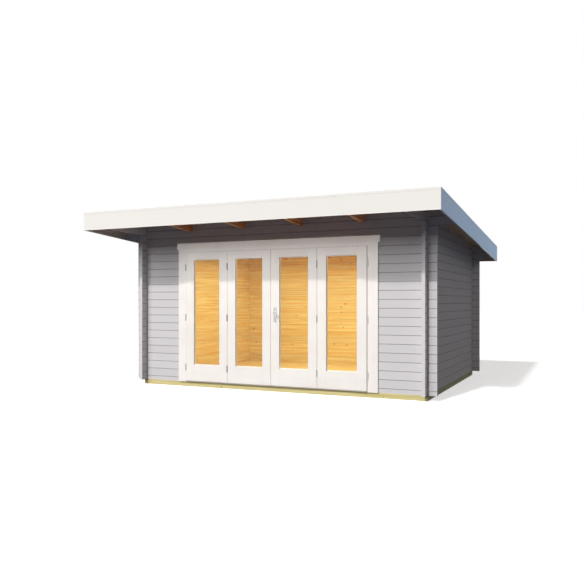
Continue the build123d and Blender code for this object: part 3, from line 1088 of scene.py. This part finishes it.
# A sun from behind on the left shows the back and the left side, which the key sun doesn't reach
back = {"bearing": 148.0, "height": 32.0, "strength": 0.85, "size": 12.0, "colour": "#FFFBF6"}
backLamp = placeSun("back light", back, (-4, 4, 5))
lightOnly(backLamp, makeGroup("pod pieces", [p for p in bpy.data.objects if p.type == "MESH"
                                             and p is not studioFloor]))

# A soft sun from the front on the right reaches only the back wall's log ends at the far corner
corner = {"bearing": -50.0, "height": 20.0, "strength": 0.26, "size": 20.0, "colour": "#FFFFFF"}
cornerLamp = placeSun("corner light", corner, (4, -4, 5))
lightOnly(cornerLamp, makeGroup("far corner", [frame["nodes"]["back_wall"]]))

# A weak panel under the overhang lifts the white door out of the shade of the roof
doorLamp = {"power": 1.3, "wide": 3.4, "deep": 0.1, "right": 0.05, "out": 0.45, "height": 1.81,
            "tilt": 96.0, "colour": "#FFFFFF"}
doorLight = placePanel("door light", doorLamp,
                       (doorLamp["right"], frontLow.y - doorLamp["out"], doorLamp["height"]),
                       (math.radians(doorLamp["tilt"]), 0.0, 0.0))
lightOnly(doorLight, doorPieces)

# A level panel below the roof stands in for the daylight that fills the room
roomLamp = {"power": 50.0, "wide": 3.4, "deep": 2.2, "height": 1.95, "colour": "#FFFEF7"}
placePanel("room light", roomLamp,
           (0.0, (roomSpan["y"][0] + roomSpan["y"][1]) / 2, roomLamp["height"]), (0, 0, 0))

# World: white to the eye. For reflections it is bright, neutral in front of the pod and sky blue
# behind it; for shade it is dim.
world = bpy.data.worlds.new("studio")
bpy.context.scene.world = world
world.use_nodes = True
tree = world.node_tree
tree.nodes.clear()
rays = addNode(tree, "ShaderNodeLightPath")
seen = addNode(tree, "ShaderNodeMath", {"operation": "MAXIMUM"},
               links={0: rays.outputs["Is Glossy Ray"], 1: rays.outputs["Is Transmission Ray"]})
towards = addNode(tree, "ShaderNodeSeparateXYZ",
                  links={0: addNode(tree, "ShaderNodeTexCoord").outputs["Generated"]})
behind = addNode(tree, "ShaderNodeMapRange", {"interpolation_type": "SMOOTHSTEP"},
                 {1: sky["greyBelow"], 2: sky["blueAbove"]}, {0: towards.outputs[1]})
blue = addNode(tree, "ShaderNodeMath", {"operation": "MULTIPLY"},
               links={0: behind.outputs[0], 1: seen.outputs[0]})
tint = addNode(tree, "ShaderNodeMix", {"data_type": "RGBA"},
               {6: hexColour(sky["front"]), 7: hexColour(sky["behind"])}, {0: blue.outputs[0]})
level = addNode(tree, "ShaderNodeMapRange", values={3: sky["shade"], 4: sky["reflected"]},
                links={0: seen.outputs[0]})
lit = addNode(tree, "ShaderNodeBackground",
              links={"Color": tint.outputs[2], "Strength": level.outputs[0]})
plain = addNode(tree, "ShaderNodeBackground",
                values={"Color": hexColour(sky["seen"]), "Strength": 1.0})
shown = addNode(tree, "ShaderNodeMixShader",
                links={0: rays.outputs["Is Camera Ray"], 1: lit.outputs[0], 2: plain.outputs[0]})
addNode(tree, "ShaderNodeOutputWorld", links={"Surface": shown.outputs[0]})

# Camera at the photograph's place, level, turned a little to the left
cameraPlace = {"x": 4.038, "y": -9.4405, "z": 1.233, "turn": 24.79, "lens": 40.40, "sensor": 36.0,
               "rise": 0.0171, "reach": 200.0}
cameraData = bpy.data.cameras.new("camera")
cameraData.sensor_width = cameraPlace["sensor"]
cameraData.lens = cameraPlace["lens"]
cameraData.shift_y = cameraPlace["rise"]
cameraData.clip_end = cameraPlace["reach"]
camera = bpy.data.objects.new("camera", cameraData)
camera.location = (cameraPlace["x"], cameraPlace["y"], cameraPlace["z"])
camera.rotation_euler = (math.radians(90), 0.0, math.radians(cameraPlace["turn"]))
bpy.context.scene.collection.objects.link(camera)
bpy.context.scene.camera = camera

bpy.context.scene.view_settings.view_transform = "Standard"
print("light and camera set")
